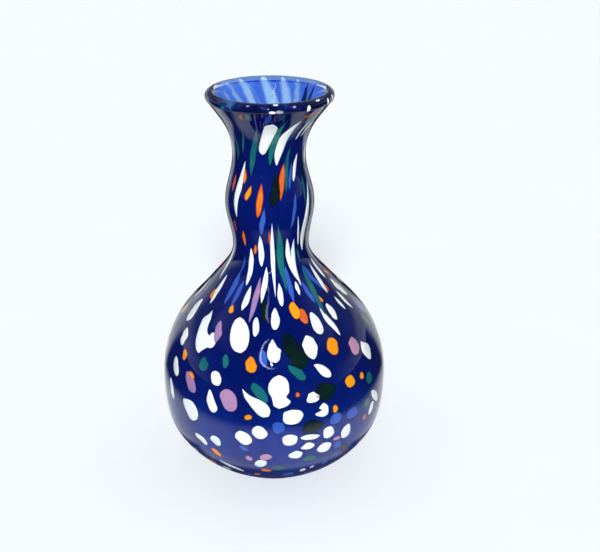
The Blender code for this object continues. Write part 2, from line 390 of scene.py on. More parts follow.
def cobalt_lip(name):
    """The roll is thick cobalt, coloured by side: almost black on its front half, painted shade, and bright blue on its
    back half at the back of the mouth, painted light."""
    mat, nt, out = new_material(name)
    tc = nt.nodes.new("ShaderNodeTexCoord")
    sep = nt.nodes.new("ShaderNodeSeparateXYZ")
    nt.links.new(tc.outputs["Object"], sep.inputs[0])
    # 0 on the front half and 1 on the back half: the split between painted shade in front and painted light behind
    back = node(nt, "ShaderNodeMapRange", interpolation_type="SMOOTHSTEP")
    back.inputs["From Min"].default_value = -0.006
    back.inputs["From Max"].default_value = 0.014
    nt.links.new(sep.outputs["Y"], back.inputs["Value"])
    mott = noise(nt, (1, 1, 1.6), 150.0, 3.0, 0.6, 0.5)
    dark = ramp(nt, mott.outputs["Fac"], [(0.40, (0.0010, 0.0035, 0.028)), (0.55, (0.0024, 0.0085, 0.080)), (0.64, (0.005, 0.026, 0.16)), (0.74, (0.04, 0.15, 0.34))])
    colour = blend(nt, back.outputs["Result"], dark, (0.028, 0.090, 0.50))
    g = smooth_glass(nt, colour, 0.02, 0.05, 0.25)
    # less see-through on the front half, part of the same painted shade
    dense = node(nt, "ShaderNodeMapRange")
    dense.inputs["To Min"].default_value = 0.35
    dense.inputs["To Max"].default_value = 1.0
    nt.links.new(back.outputs["Result"], dense.inputs["Value"])
    nt.links.new(dense.outputs["Result"], g.inputs["Transmission Weight"])
    lamp_pass(nt, g.outputs["BSDF"], out, (0.05, 0.12, 0.55))
    return mat


# colour at the heart of a chip, the heart of the reddest or coldest ones, the
# colour of its edge, and its fleck colour
FRIT = {
    "white": ((0.96, 0.97, 0.96), (0.80, 0.90, 0.95), (0.66, 0.84, 0.95), (0.99, 0.98, 0.94)),
    "orange": ((1.0, 0.42, 0.006), (0.90, 0.15, 0.018), (0.46, 0.050, 0.008), (1.0, 0.45, 0.025)),
    "red": ((0.80, 0.13, 0.025), (0.50, 0.060, 0.030), (0.20, 0.014, 0.010), (0.95, 0.27, 0.040)),
    "teal": ((0.008, 0.120, 0.170), (0.010, 0.19, 0.15), (0.004, 0.040, 0.15), (0.02, 0.21, 0.19)),
    "mauve": ((0.56, 0.30, 0.48), (0.34, 0.22, 0.46), (0.22, 0.13, 0.40), (0.66, 0.28, 0.40)),
    "black": ((0.0016, 0.0080, 0.0130), (0.003, 0.011, 0.010), (0.002, 0.010, 0.045), (0.004, 0.028, 0.020)),
    "blue": ((0.040, 0.125, 0.58), (0.018, 0.060, 0.38), (0.014, 0.040, 0.32), (0.08, 0.21, 0.70)),
    "olive": ((0.020, 0.028, 0.010), (0.012, 0.020, 0.008), (0.005, 0.010, 0.030), (0.050, 0.060, 0.020)),
    "pale": ((0.80, 0.92, 0.98), (0.55, 0.74, 0.94), (0.62, 0.80, 0.96), (0.90, 0.95, 0.98)),
}
OPEN_EDGE = {"white": 0.05, "orange": 0.25, "red": 0.30, "teal": 0.80, "mauve": 0.60,
             "black": 0.75, "blue": 0.70, "olive": 0.70, "pale": 0.75}


def frit_glass(colour):
    """Opaque coloured glass: mottled along the chip, another colour at its
    thin edge, which is a little see-through."""
    heart, far, edge, fleck = FRIT[colour]
    mat, nt, out = new_material("frit_" + colour)
    rim = nt.nodes.new("ShaderNodeAttribute")
    rim.attribute_name = "rim"
    tone = nt.nodes.new("ShaderNodeAttribute")
    tone.attribute_name = "tone"
    core = blend(nt, tone.outputs["Fac"], heart, far)
    cloud = noise(nt, (1, 1, 0.5), 170.0, 3.0, 0.55, 0.4)
    flecks = node(nt, "ShaderNodeMapRange")
    flecks.inputs["From Min"].default_value = 0.46
    flecks.inputs["From Max"].default_value = 0.72
    flecks.inputs["To Max"].default_value = 0.5
    nt.links.new(cloud.outputs["Fac"], flecks.inputs["Value"])
    core = blend(nt, flecks.outputs["Result"], core, fleck)
    mott = noise(nt, (1, 1, 0.35), 300.0, 4.0, 0.6, 0.6)
    warp = node(nt, "ShaderNodeMath", operation="MULTIPLY_ADD")
    nt.links.new(mott.outputs["Fac"], warp.inputs[0])
    warp.inputs[1].default_value = 0.40
    nt.links.new(rim.outputs["Fac"], warp.inputs[2])
    zone = node(nt, "ShaderNodeMapRange")
    zone.inputs["From Min"].default_value = {"orange": 0.68, "red": 0.70, "white": 0.98}.get(colour, 0.86)
    zone.inputs["From Max"].default_value = 1.25 if colour == "white" else 1.16
    nt.links.new(warp.outputs["Value"], zone.inputs["Value"])
    shade = blend(nt, zone.outputs["Result"], core, edge)
    p = node(nt, "ShaderNodeBsdfDiffuse")
    nt.links.new(shade, p.inputs["Color"])
    through = node(nt, "ShaderNodeBsdfTranslucent")
    nt.links.new(shade, through.inputs["Color"])
    glow = nt.nodes.new("ShaderNodeMixShader")
    glow.inputs["Fac"].default_value = {"black": 0.06, "olive": 0.06, "white": 0.14, "pale": 0.5}.get(colour, 0.20)
    nt.links.new(p.outputs["BSDF"], glow.inputs[1])
    nt.links.new(through.outputs["BSDF"], glow.inputs[2])
    gap = node(nt, "ShaderNodeMapRange")
    gap.inputs["From Min"].default_value = 0.45 if colour in ("teal", "black", "blue", "mauve", "olive", "pale") else 0.75
    gap.inputs["From Max"].default_value = 1.0
    gap.inputs["To Max"].default_value = OPEN_EDGE[colour]
    nt.links.new(rim.outputs["Fac"], gap.inputs["Value"])
    if colour == "pale":
        gap.inputs["To Min"].default_value = 0.35
    clear = node(nt, "ShaderNodeBsdfTransparent")
    mix = nt.nodes.new("ShaderNodeMixShader")
    nt.links.new(gap.outputs["Result"], mix.inputs["Fac"])
    nt.links.new(glow.outputs["Shader"], mix.inputs[1])
    nt.links.new(clear.outputs["BSDF"], mix.inputs[2])
    nt.links.new(mix.outputs["Shader"], out.inputs["Surface"])
    return mat


MATERIALS = {
    "casing_skin": clear_glass("clear_casing_skin"),
    "casing_contact": contact("clear_casing_contact"),
    "bubble_contact": cobalt_layer("cobalt_contact"),
    "bubble_inside": cobalt_inside("cobalt_inside"),
    "lip": cobalt_lip("cobalt_lip"),
}
for _c in FRIT:
    MATERIALS["frit_" + _c] = frit_glass(_c)

vase = bpy.data.collections.new("art_glass_vase")
bpy.context.scene.collection.children.link(vase)


def add_object(name, mesh):
    obj = bpy.data.objects.new(name, mesh)
    vase.objects.link(obj)
    mesh.shade_smooth()
    return obj


# --- the chips of coloured glass -------------------------------------------
# colour, top end (azimuth, height), bottom end (azimuth, height), width and,
# for a bent streak, the azimuth half way. Degrees and millimetres. These are
# the part's own chips, in its order, so each takes the place of its node.
CHIPS = [
    ("white", (-28, 92), (-20.5, 80.5), 8.8),
    ("white", (-56, 90.5), (-48, 75.5), 6.8),
    ("white", (-77, 90.5), (-75, 81), 5.4),
    ("white", (2, 96.5), (1, 89), 3.8),
    # this white chip lies where the flash glints on the belly and stands partly for that glint: a real chip, partly a
    # painted highlight
    ("white", (-1, 86), (1, 78), 5.4),
    ("white", (2.5, 73.5), (2, 60), 8.4),
    ("white", (33, 93), (34, 85), 4.8),
    ("white", (43, 93.5), (47, 82), 2.8),
    ("white", (22.5, 86), (23.5, 77.5), 6.4),
    ("white", (61, 75.5), (63, 66.5), 6.4),
    ("white", (22.5, 75.5), (31, 69.5), 4.0),
    ("white", (24.5, 59.5), (24, 53), 6.0),
    ("white", (28, 47), (26, 41), 5.6),
    ("white", (39.5, 44), (36, 37.5), 5.8),
    ("white", (8.5, 59), (8.5, 52), 8.6),
    ("white", (7, 47), (7, 41), 6.6),
    ("white", (25.5, 38.8), (25, 33.3), 7.0),
    ("white", (-34.5, 64), (-31, 54), 5.0),
    ("white", (-52, 53.4), (-42, 46.6), 8.6),
    ("white", (-16.5, 67.5), (-3, 56.5), 5.8),
    ("white", (-9, 51.5), (-6, 45), 6.2),
    ("white", (-17.5, 48), (-13.5, 41), 6.6),
    ("white", (-34.5, 71.5), (-29.5, 66.8), 5.2),
    ("white", (-66, 68), (-60, 61), 5.0),
    ("orange", (19, 98), (19.4, 91.8), 4.6),
    ("red", (25.2, 95.2), (25.6, 89.6), 4.2),
    ("orange", (38.5, 83), (38, 76.5), 6.2),
    ("orange", (42.5, 67), (42, 61.5), 5.8),
    ("orange", (-14, 80), (-12, 74), 5.2),
    ("orange", (-60, 73.5), (-57, 69.5), 3.6),
    ("mauve", (55, 79.5), (52, 72.5), 6.8),
    ("mauve", (-26, 66), (-20.5, 57), 7.6),
    ("teal", (-43, 75.5), (-40.5, 70), 5.4),
    ("teal", (57, 63), (57, 57), 5.4),
    ("black", (8.6, 88), (16, 74.6), 8.0),
    ("black", (23.4, 68.2), (28.6, 60.4), 9.2),
    ("black", (18, 53), (18, 46.2), 9.6),
    ("blue", (42, 52), (42, 46), 7.2),
    ("white", (4, 178.6), (-11, 163), 5.4, None, 0.1),
    ("teal", (21, 181.8), (1.5, 158), 3.1, 8, 0.7),
    ("white", (37.5, 179.5), (12.5, 158), 3.8, 20, 0.2),
    ("white", (-43, 159), (-51, 134), 3.2, -51.5, 0.1),
    ("orange", (-12, 150.4), (-17, 135.8), 2.9, None, 1.0),
    ("red", (26, 159.5), (15, 143), 2.7, None, 0.0),
    ("black", (12.7, 155.3), (4.7, 140.5), 4.2),
    ("white", (74, 148.5), (60, 116), 3.0, 58, 0.2),
    ("white", (2.5, 133.5), (3, 100), 1.9),
    ("white", (118, 84), (124, 71), 7.2),
    ("orange", (150, 66), (152, 58), 6.0),
    ("white", (176, 60), (170, 49), 7.6),
    ("mauve", (-148, 80), (-152, 71), 6.2),
    ("white", (-118, 58), (-112, 47), 6.4),
    ("teal", (-100, 76), (-104, 67), 5.2),
    ("black", (104, 52), (98, 43), 6.6),
    ("white", (158, 172), (148, 156), 3.2),
    ("white", (-132, 148), (-140, 128), 2.8),
]

# the smaller chips between them, and second lobes of some of the large ones
MORE = [
    # belly and shoulder
    ("white", (-14, 93), (-13, 86.5), 3.0),
    ("white", (-69, 80), (-64.5, 73.5), 4.8),
    ("white", (-44, 84.5), (-41.5, 79), 4.6),
    ("white", (52, 93.5), (52, 87), 3.6),
    ("white", (19.5, 65.3), (19.5, 60.8), 6.2),
    ("white", (16.5, 41.2), (16, 37.4), 5.6),
    ("white", (10.5, 37.5), (9.5, 33.2), 5.8),
    ("white", (-67, 57), (-62.5, 48), 4.0),
    ("white", (-44, 38.2), (-36.5, 34.8), 3.4),
    ("white", (-32, 27), (-18, 22), 2.8),
    ("white", (58, 53), (66, 44), 3.8),
    ("white", (60, 46.5), (56, 41), 4.0),
    ("white", (17.5, 45.4), (17, 42.6), 8.6),
    ("white", (66.5, 93.7), (67.5, 87.5), 2.0),
    ("white", (75, 94), (76.5, 85.5), 2.2),
    ("white", (-97, 96), (-93, 86), 2.6),
    ("orange", (30.8, 57), (30.8, 53), 3.0),
    ("orange", (-38, 95.5), (-38, 92.3), 2.6),
    ("orange", (-34, 33.8), (-28.5, 30.6), 3.0),
    ("orange", (-5, 26.6), (-5, 24.2), 5.0),
    ("orange", (-13.5, 56.6), (-12.5, 54.2), 3.6),
    ("orange", (51, 65.2), (51.5, 61.8), 3.0),
    ("orange", (48, 97.5), (49.8, 94.4), 2.0),
    ("orange", (-50, 67.2), (-46, 64.8), 3.2),
    ("red", (11.5, 66.4), (11.5, 64.2), 2.2),
    ("red", (52, 43.5), (51.5, 40.5), 2.8),
    ("mauve", (-42.6, 89), (-39.5, 81.4), 4.2, None, 0.9),
    ("mauve", (-52, 66.5), (-43.5, 59.6), 5.4, None, 0.9),
    ("mauve", (-14.5, 34.5), (-12, 31.8), 3.2),
    ("mauve", (-5.5, 36.6), (-4.5, 32.8), 5.6),
    ("mauve", (32.5, 40), (32, 37.8), 4.2),
    ("mauve", (-15.2, 107.4), (-19.4, 90.6), 2.9, None, 1.0),
    ("teal", (-29.5, 79.2), (-28, 73.8), 3.6),
    ("teal", (7.6, 77), (16.5, 70.6), 4.4),
    ("teal", (18, 33.6), (17, 30), 6.4),
    ("teal", (-11.5, 70.4), (-3.5, 62.6), 4.8),
    ("teal", (53.5, 51.5), (53.5, 46.5), 5.0),
    ("teal", (2, 29), (2, 25.2), 6.4),
    ("teal", (80, 82), (82, 75), 4.0),
    ("black", (-9, 99.6), (-7.4, 91.2), 3.2),
    ("blue", (30.6, 53), (31.2, 47.2), 6.8),
    ("blue", (-0.5, 53.6), (3, 48.2), 5.8),
    ("white", (-33, 41), (-28.5, 37), 4.8, None, 1.0),
    # this blue chip fills the ring of the flash's glint on the belly: partly a real chip, partly the painted reflection
    # of the flash
    ("blue", (-7.4, 82.8), (-5.6, 76.4), 4.0),
    ("blue", (-18, 39.8), (-13, 37.6), 2.6),
    ("white", (-9.5, 31.9), (-5.5, 29), 6.2, None, 1.0),
    ("blue", (33, 37.2), (33, 32.6), 4.6),
    ("blue", (-47.4, 108), (-47.8, 94), 3.0, None, 0.2),
    ("blue", (-36.6, 105), (-40.2, 93.6), 2.6, None, 0.4),
    ("blue", (21.4, 112), (20.6, 97.6), 3.0, None, 0.2),
    ("blue", (37, 105), (41, 95.2), 2.6, None, 0.3),
    ("blue", (51, 110), (60, 97.2), 2.8, None, 0.3),
    ("white", (29.8, 104.6), (28.8, 99.6), 1.8),
    ("white", (-25.5, 103.5), (-28, 94.4), 2.8),
    ("white", (-7.5, 111.5), (-11, 97.8), 2.4),
    ("white", (8.5, 105), (8.5, 96.8), 2.5),
    ("white", (-67, 103.5), (-63.5, 91.8), 2.6),
    ("orange", (-69, 97), (-68, 93), 2.6),
    ("white", (67, 108.6), (61.6, 96), 2.4),
    ("red", (66, 99), (65, 96.2), 1.8),
    ("white", (79, 109.6), (76.5, 100), 2.2),
    ("teal", (50.2, 110.5), (44.3, 90), 3.4, 46.5, 0.2),
    ("olive", (38.5, 33), (37.5, 29.4), 4.6),
    # neck, collar and flare
    ("teal", (-14.5, 176.4), (-31, 152.4), 2.9, -26, 0.2),
    ("teal", (-36, 175), (-48.5, 161.8), 1.6, None, 0.1),
    ("orange", (-42.4, 155.6), (-41.8, 149), 1.9, None, 0.6),
    ("orange", (-28.4, 149), (-35.4, 142.4), 2.3, None, 0.1),
    ("red", (-64, 152.2), (-64.6, 143.6), 1.8, None, 0.2),
    ("white", (53.6, 162.2), (40.4, 150), 1.9, None, 0.2),
    ("white", (53, 178.4), (43, 169.2), 1.1, None, 0.5),
    ("white", (61.5, 177.6), (52.4, 170.2), 0.9, None, 0.4),
    ("teal", (37, 167.8), (24, 145.2), 2.2, None, 0.1),
    ("blue", (41, 159), (30.5, 146.6), 1.8, None, 0.2),
    ("blue", (-7.6, 140.8), (-13.6, 127), 2.5, None, 0.0),
    ("blue", (40.5, 146), (29.5, 129), 2.0, None, 0.2),
    ("teal", (62, 152.8), (54.4, 138.2), 2.0, None, 0.3),
    ("orange", (-43.5, 128.4), (-45, 119.8), 1.9, None, 0.7),
    ("orange", (-24, 122.4), (-27, 117), 1.6, None, 0.7),
    ("red", (-2, 130.4), (-1.4, 121.8), 1.2, None, 0.0),
    ("white", (-16, 127.2), (-15.3, 111.5), 2.6),
    ("white", (-33.7, 119.8), (-31.7, 103.2), 2.5),
    ("teal", (9.5, 134), (16, 101.5), 3.3, 15.5, 0.6),
    ("white", (26, 125.2), (33.6, 104.6), 2.2),
    ("white", (38.5, 124.4), (34.8, 102.4), 2.2),
    ("teal", (47, 120), (50, 111), 1.6, None, 0.2),
    ("white", (40.5, 135.4), (49, 120), 0.9, None, 0.8),
    ("orange", (51, 182.4), (37, 180.6), 1.9, None, 0.7),
    ("red", (-27.5, 183.4), (-31, 180.6), 1.9, None, 0.3),
    ("teal", (-21, 184.2), (-22.6, 180.4), 2.8, None, 0.9),
    ("red", (-58, 133), (-60, 126), 1.2),
    ("white", (-84, 178), (-82, 158), 1.8, None, 0.6),
    ("teal", (-58, 172), (-62, 158), 2.0),
    ("blue", (0, 183.5), (-4, 178.5), 2.6, None, 0.5),
    ("teal", (16, 183.6), (8, 180.2), 2.4, None, 0.1),
    ("black", (68, 162), (65, 148), 1.8),
    ("white", (84, 170), (78, 155), 1.6, None, 0.5),
    ("white", (-80, 119), (-75.5, 100), 1.7, -84, 0.3),
    ("blue", (-46, 116), (-47, 105), 1.3, None, 0.7),
    # far side of the flare, seen from above through the mouth
    ("pale", (-147, 186.6), (-174, 164), 5.2, None, 0.1),
    ("pale", (188, 186.6), (150, 163), 5.6, 172, 0.0),
    ("pale", (167.5, 186.6), (138, 164), 4.6, None, 0.2),
    ("pale", (150.5, 186.4), (126, 165), 3.2, None, 0.9),
    ("teal", (136, 186.2), (120, 167), 3.4, None, 0.2),
    ("teal", (124.5, 186.2), (109, 168), 2.8, None, 0.8),
    ("pale", (-129, 186.2), (-146, 169), 3.0, None, 0.6),
    ("pale", (-113, 186), (-129, 168), 2.2, None, 0.9),
    ("mauve", (-99, 184), (-110, 174), 1.8, None, 0.8),
    ("blue", (204, 183), (188, 170), 2.0, None, 0.1),
]


# Outlines of the chips whose shape is not a plain pebble: half widths down the
# left and down the right, from the top end, as parts of half the chip's width.
STATIONS = (0.07, 0.21, 0.36, 0.50, 0.64, 0.79, 0.93)
SHAPES = {
    "white_01": ((.48, .76, .93, 1.0, .98, .86, .56), (.42, .74, .94, 1.03, 1.02, .90, .58)),
    "white_02": ((.20, 1.05, 1.2, 1.15, 1.04, .84, .52), (.18, .32, .28, .62, 1.65, 1.85, .55)),
    "white_03": ((.40, .75, .95, 1.0, 1.0, .90, .60), (.25, .50, .72, .88, .95, .95, .60)),
    "white_05": ((.20, .62, .85, 1.1, 1.2, 1.15, .80), (.20, .45, .66, 1.15, .95, .80, .55)),
    "white_06": ((.62, 1.0, 1.1, 1.0, .72, .62, .50), (.60, .92, 1.03, 1.08, .80, 1.22, .78)),
    "white_07": ((.45, .75, .92, .98, 1.0, .92, .66), (.35, .62, .85, 1.0, 1.08, 1.0, .64)),
    "white_08": ((.30, .70, 1.0, 1.05, .85, .60, .35), (.25, .50, .80, 1.0, 1.1, .90, .55)),
    "white_10": ((.40, .80, 1.0, .95, .75, .55, .30), (.20, .60, 1.0, 1.15, 1.1, .80, .40)),
    "white_11": ((.15, .32, .52, .70, .82, .80, .50), (.50, .92, 1.2, 1.3, 1.2, 1.0, .60)),
    "white_12": ((.28, .62, .66, .12, 1.15, 1.12, .60), (.30, .60, .80, .90, .92, .84, .56)),
    "white_13": ((.60, .92, 1.05, 1.0, .92, .80, .55), (.42, .75, .95, 1.05, 1.05, .90, .60)),
    "white_15": ((.72, .95, 1.0, 1.0, .97, .85, .62), (.70, .92, 1.05, 1.06, 1.0, .84, .58)),
    "white_16": ((.60, .88, 1.0, 1.02, .98, .86, .60), (.55, .95, 1.05, .98, .92, .85, .60)),
    "white_18": ((.30, .60, .88, 1.0, .92, .82, .58), (.25, .45, .62, .78, .92, 1.0, .66)),
    "white_19": ((.36, .62, .82, .92, .96, .90, .62), (.36, .76, 1.0, 1.06, 1.08, 1.0, .66)),
    "white_20": ((.22, .52, .62, .80, .95, 1.0, .70), (.10, .26, .58, .88, 1.05, 1.08, .78)),
    "white_21": ((.55, .85, 1.0, 1.04, .98, .84, .52), (.50, .80, .92, .98, 1.0, .92, .62)),
    "white_22": ((.62, .95, 1.05, .95, .85, .74, .50), (.35, .70, .95, 1.04, 1.05, .95, .66)),
    "mauve_02": ((.62, .92, 1.0, 1.0, .95, .82, .55), (.58, .88, 1.0, 1.02, .98, .86, .58)),
    "orange_01": ((.50, .88, 1.0, 1.0, .92, .80, .50), (.40, .60, .85, 1.0, 1.05, .98, .62)),
    "orange_03": ((.45, .85, 1.0, 1.0, .96, .84, .55), (.45, .75, .92, 1.02, 1.02, .92, .62)),
    "black_01": ((.40, .80, 1.0, .95, .88, .80, .50), (.35, .62, .80, .95, 1.1, 1.15, .80)),
    "black_02": ((.50, .95, 1.1, 1.05, .90, .72, .45), (.35, .60, .90, 1.05, 1.1, 1.0, .62)),
    "white_25": ((.95, 1.0, .98, .92, .85, .76, .55), (.85, 1.0, .90, .80, .70, .58, .40)),
    "white_27": ((.30, .50, .72, .90, 1.0, .82, .40), (.20, .55, .85, 1.05, .78, .60, .30)),
}


def outline(label, style, seed):
    """Half width of a chip along its length, -1 at the top end to 1, as a
    part of half its width. Chips drawn out up the neck come to a point."""
    r = random.Random(seed)
    if label in SHAPES:
        left, right = (spline([(-0.04, v[0] * 0.35)] + list(zip(STATIONS, v)) + [(1.04, v[-1] * 0.35)])
                       for v in SHAPES[label])

        def half(t, side):
            u = (t + 1) / 2
            w = max(0.0, (right if side > 0 else left)(u)[0])
            return w * min(1.0, (max(0.0, min(u, 1 - u)) / 0.07)) ** 0.5
        return half
    if label.startswith("pale"):
        top_end, bottom_end = 0.5, 0.8
    elif style == "streak":
        top_end, bottom_end = r.uniform(0.80, 1.25), r.uniform(0.55, 0.95)
    elif style == "drop":
        top_end, bottom_end = r.uniform(0.62, 1.0), r.uniform(0.44, 0.62)
    else:
        top_end, bottom_end = r.uniform(0.42, 0.66), r.uniform(0.42, 0.62)
    taper = r.uniform(-0.16, 0.20)
    drift = r.uniform(-0.10, 0.10)
    wob = [(r.uniform(-1, 1) * 0.12 / k ** 0.7, r.uniform(0, 6.28), k) for k in (1, 2, 3, 4)]
    peak = r.uniform(-0.12, 0.18)

    def half(t, side):
        # the widest place sits a little off the middle
        tt = (t - peak) / (1 - peak) if t > peak else (t - peak) / (1 + peak)
        w = max(0.0, 1 - tt * tt) ** (top_end if tt < 0 else bottom_end)
        w *= 1 + taper * t
        for amp, phase, k in wob:
            w *= 1 + amp * math.sin(k * 2.2 * t + phase + (2.3 if side > 0 else 0))
        return w * (1 + side * drift)
    return half


def chip_curve(chip):
    top, bottom = chip[1], chip[2]
    half_turn = (top[0] + bottom[0]) / 2
    middle = chip[4] if len(chip) > 4 and chip[4] is not None else half_turn
    z_mid = (top[1] + bottom[1]) / 2
    r_mid, slope_mid = bed(z_mid)
    q = math.hypot(1.0, slope_mid)
    across = math.radians(top[0] - bottom[0]) * r_mid
    along = (top[1] - bottom[1]) * q
    length = math.hypot(across, along)
    return middle, half_turn, z_mid, across, along, length


def on_bed(azimuth, z, lift):
    r, slope = bed(z)
    q = math.hypot(1.0, slope)
    rr, zz = r + lift / q, z - lift * slope / q
    a = math.radians(azimuth)
    return to_world(rr * math.sin(a), -rr * math.cos(a), zz)


def add_lens(bm, rim_layer, tone_layer, rings, lanes, place, tone, length, half_mm):
    """A thin lens of glass. place(t, s, lift) gives a point of it: t runs from
    end to end and s from side to side, both -1 to 1."""

    def vert(t, s, face):
        w = half_mm(t, 1 if s > 0 else -1)
        inside = min(w * (1 - abs(s)), (1 - abs(t)) * length / 2)
        body = min(1.0, max(0.0, inside) / 0.55)
        body = math.sin(body * math.pi / 2)
        v = bm.verts.new(place(t, s, body if face > 0 else -body * 0.3))
        v[rim_layer] = max(0.0, 1 - inside / 1.0)
        v[tone_layer] = tone
        return v

    ts = [-math.cos(math.pi * i / rings) for i in range(1, rings)]
    ss = [-math.cos(math.pi * j / lanes) * 0.5 + 0.5 * (-1 + 2 * j / lanes) for j in range(lanes + 1)]
    top_rows = [[vert(t, s, 1) for s in ss] for t in ts]
    low_rows = [[row[j] if j in (0, lanes) else vert(t, ss[j], -1) for j in range(lanes + 1)]
                for t, row in zip(ts, top_rows)]
    ends = [vert(-1, 0.0, 1), vert(1, 0.0, 1)]
    for rows, flip in ((top_rows, False), (low_rows, True)):
        for a, b in zip(rows, rows[1:]):
            for j in range(lanes):
                quad = (a[j], a[j + 1], b[j + 1], b[j])
                bm.faces.new(quad[::-1] if flip else quad)
        for j in range(lanes):
            one = (ends[0], rows[0][j + 1], rows[0][j])
            two = (ends[1], rows[-1][j], rows[-1][j + 1])
            bm.faces.new(one[::-1] if flip else one)
            bm.faces.new(two[::-1] if flip else two)


def lens_mesh(name, lenses):
    bm = bmesh.new()
    rim_layer = bm.verts.layers.float.new("rim")
    tone_layer = bm.verts.layers.float.new("tone")
    for lens in lenses:
        add_lens(bm, rim_layer, tone_layer, *lens)
    bm.normal_update()
    if bm.calc_volume(signed=True) < 0:
        bmesh.ops.reverse_faces(bm, faces=bm.faces)
    mesh = bpy.data.meshes.new(name)
    bm.to_mesh(mesh)
    bm.free()
    return mesh


def chip_lens(label, chip, seed):
    """A chip melted flat against the inner face of the casing."""
    middle, half_turn, z_mid, across, along, length = chip_curve(chip)
    top, bottom, width = chip[1], chip[2], chip[3]
    if length > 3.2 * width:
        style = "streak"
    elif z_mid > 72:
        style = "drop"
    else:
        style = "oval"
    half = outline(label, style, seed)
    r = random.Random(seed * 7 + 3)
    sway, sway_phase = r.uniform(-0.07, 0.07) * width, r.uniform(0, 6.28)
    tone = chip[5] if len(chip) > 5 else r.uniform(0.0, 0.55)
    thick = min(0.24, 0.12 + 0.03 * width)
    rings = max(16, min(56, int(length / 0.36)))
    lanes = max(8, min(20, int(width / 0.40)))

    def place(t, s, body):
        side = 1 if s > 0 else -1
        w = half(-t, side) * width / 2 * s + sway * math.sin(2.6 * t + sway_phase) * (1 - t * t)
        azimuth = middle + t * (top[0] - bottom[0]) / 2 + (half_turn - middle) * t * t
        z = z_mid + t * (top[1] - bottom[1]) / 2
        rr, slope = bed(z)
        azimuth += math.degrees(w * (along / length) / rr)
        z -= w * (across / length) / math.hypot(1.0, slope)
        return on_bed(azimuth, z, 0.22 + (thick if body > 0 else 0.4) * body)

    return rings, lanes, place, tone, length, lambda t, side: half(-t, side) * width / 2


# distance along the glass, for spacing the chips
_arc = np.concatenate([[0], np.cumsum(np.hypot(np.diff(BED_R), np.diff(BED_Z)))])


def arc(z):
    return float(np.interp(z, BED_Z, _arc))


def chip_points(chip):
    """Points along a chip with its half width there: azimuth, distance along
    the glass, half width, radius, height."""
    middle, half_turn, z_mid, across, along, length = chip_curve(chip)
    pts = []
    n = max(2, int(length / 1.5))
    for i in range(n + 1):
        t = -1 + 2 * i / n
        az = middle + t * (chip[1][0] - chip[2][0]) / 2 + (half_turn - middle) * t * t
        z = z_mid + t * (chip[1][1] - chip[2][1]) / 2
        pts.append((az, arc(z), chip[3] / 2 * max(0.25, 1 - t * t) ** 0.5, bed(z)[0], z))
    return np.array(pts)


class Spacing:
    """Keeps the chips of the far side apart."""

    def __init__(self, chips):
        self.points = np.concatenate([chip_points(c) for c in chips])

    def fits(self, pts, gap):
        near = self.points[np.abs(self.points[:, 1] - pts[:, 1].mean()) < 26]
        if not len(near):
            return True
        da = (near[:, None, 0] - pts[None, :, 0] + 180) % 360 - 180
        d = np.hypot(np.radians(da) * near[:, None, 3], near[:, None, 1] - pts[None, :, 1])
        return bool((d > near[:, None, 2] + pts[None, :, 2] + gap).all())

    def add(self, pts):
        self.points = np.concatenate([self.points, pts])


def scatter():
    """The side away from the usual view, rolled in the same frit: oval chips
    on the belly, drawn out longer up the shoulder and into streaks on the
    neck, all leaning the way the glass was turned."""
    made = []
    spacing = Spacing(CHIPS + MORE)
    kinds = (["white"] * 46 + ["orange"] * 13 + ["red"] * 5 + ["teal"] * 11
             + ["mauve"] * 8 + ["black"] * 7 + ["blue"] * 10)
    bands = [  # heights, tries, widths, length over width, lean of the chips
        (17, 30, 300, (3.4, 7.0), (0.7, 1.0), 10.0),
        (28, 56, 900, (3.2, 8.2), (0.9, 1.4), 7.0),
        (52, 84, 900, (3.2, 8.0), (1.1, 1.8), 2.0),
        (80, 104, 600, (2.4, 5.0), (1.8, 3.4), -1.0),
        (100, 134, 500, (1.6, 3.0), (4.0, 9.0), -3.0),
        (130, 160, 460, (1.6, 3.4), (3.5, 7.0), 6.0),
        (156, 183, 460, (1.8, 4.4), (2.6, 5.0), 12.0),
    ]
    for low, high, tries, widths, factors, lean in bands:
        for _ in range(tries):
            if rng.random() < 0.55:
                width = rng.uniform(*widths)
            else:
                width = rng.uniform(widths[0] * 0.6, widths[0] * 1.3)
            length = width * rng.uniform(*factors)
            z = rng.uniform(low, high)
            az = rng.uniform(-180, 180)
            kind, tone = rng.choice(kinds), rng.uniform(0, 0.6)
            r, slope = bed(z)
            dz = length / math.hypot(1, slope)
            top, bottom = z + dz / 2, z - dz / 2
            turn = math.degrees((rng.uniform(-1.2, 1.2) + lean * length / 60) / r)
            gap = 0.8 if rng.random() < 0.7 else 2.2
            if bottom < 14 or top > 172.0 or (abs(az) < 84 and z > 27):
                continue
            chip = (kind, (az + turn, top), (az - turn, bottom), width, None, tone)
            pts = chip_points(chip)
            if spacing.fits(pts, gap):
                spacing.add(pts)
                made.append(chip)
    return made


extra = MORE + scatter()
counts = {}
all_chips = []
small = {}
for index, chip in enumerate(CHIPS + extra):
    colour = chip[0]
    known = index < len(CHIPS)
    counts[colour] = counts.get(colour, 0) + 1
    label = "%s_chip_%02d" % (colour, counts[colour])
    all_chips.append(chip)
    lens = chip_lens(label.replace("_chip", ""), chip, 1000 + index)
    if not known:
        small.setdefault(colour, []).append(lens)
        continue
    name = "chip_%s_%02d" % (colour, counts[colour])
    obj = add_object(name, lens_mesh(name, [lens]))
    obj.data.materials.append(MATERIALS["frit_" + colour])
    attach(obj, "root")
    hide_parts(label)


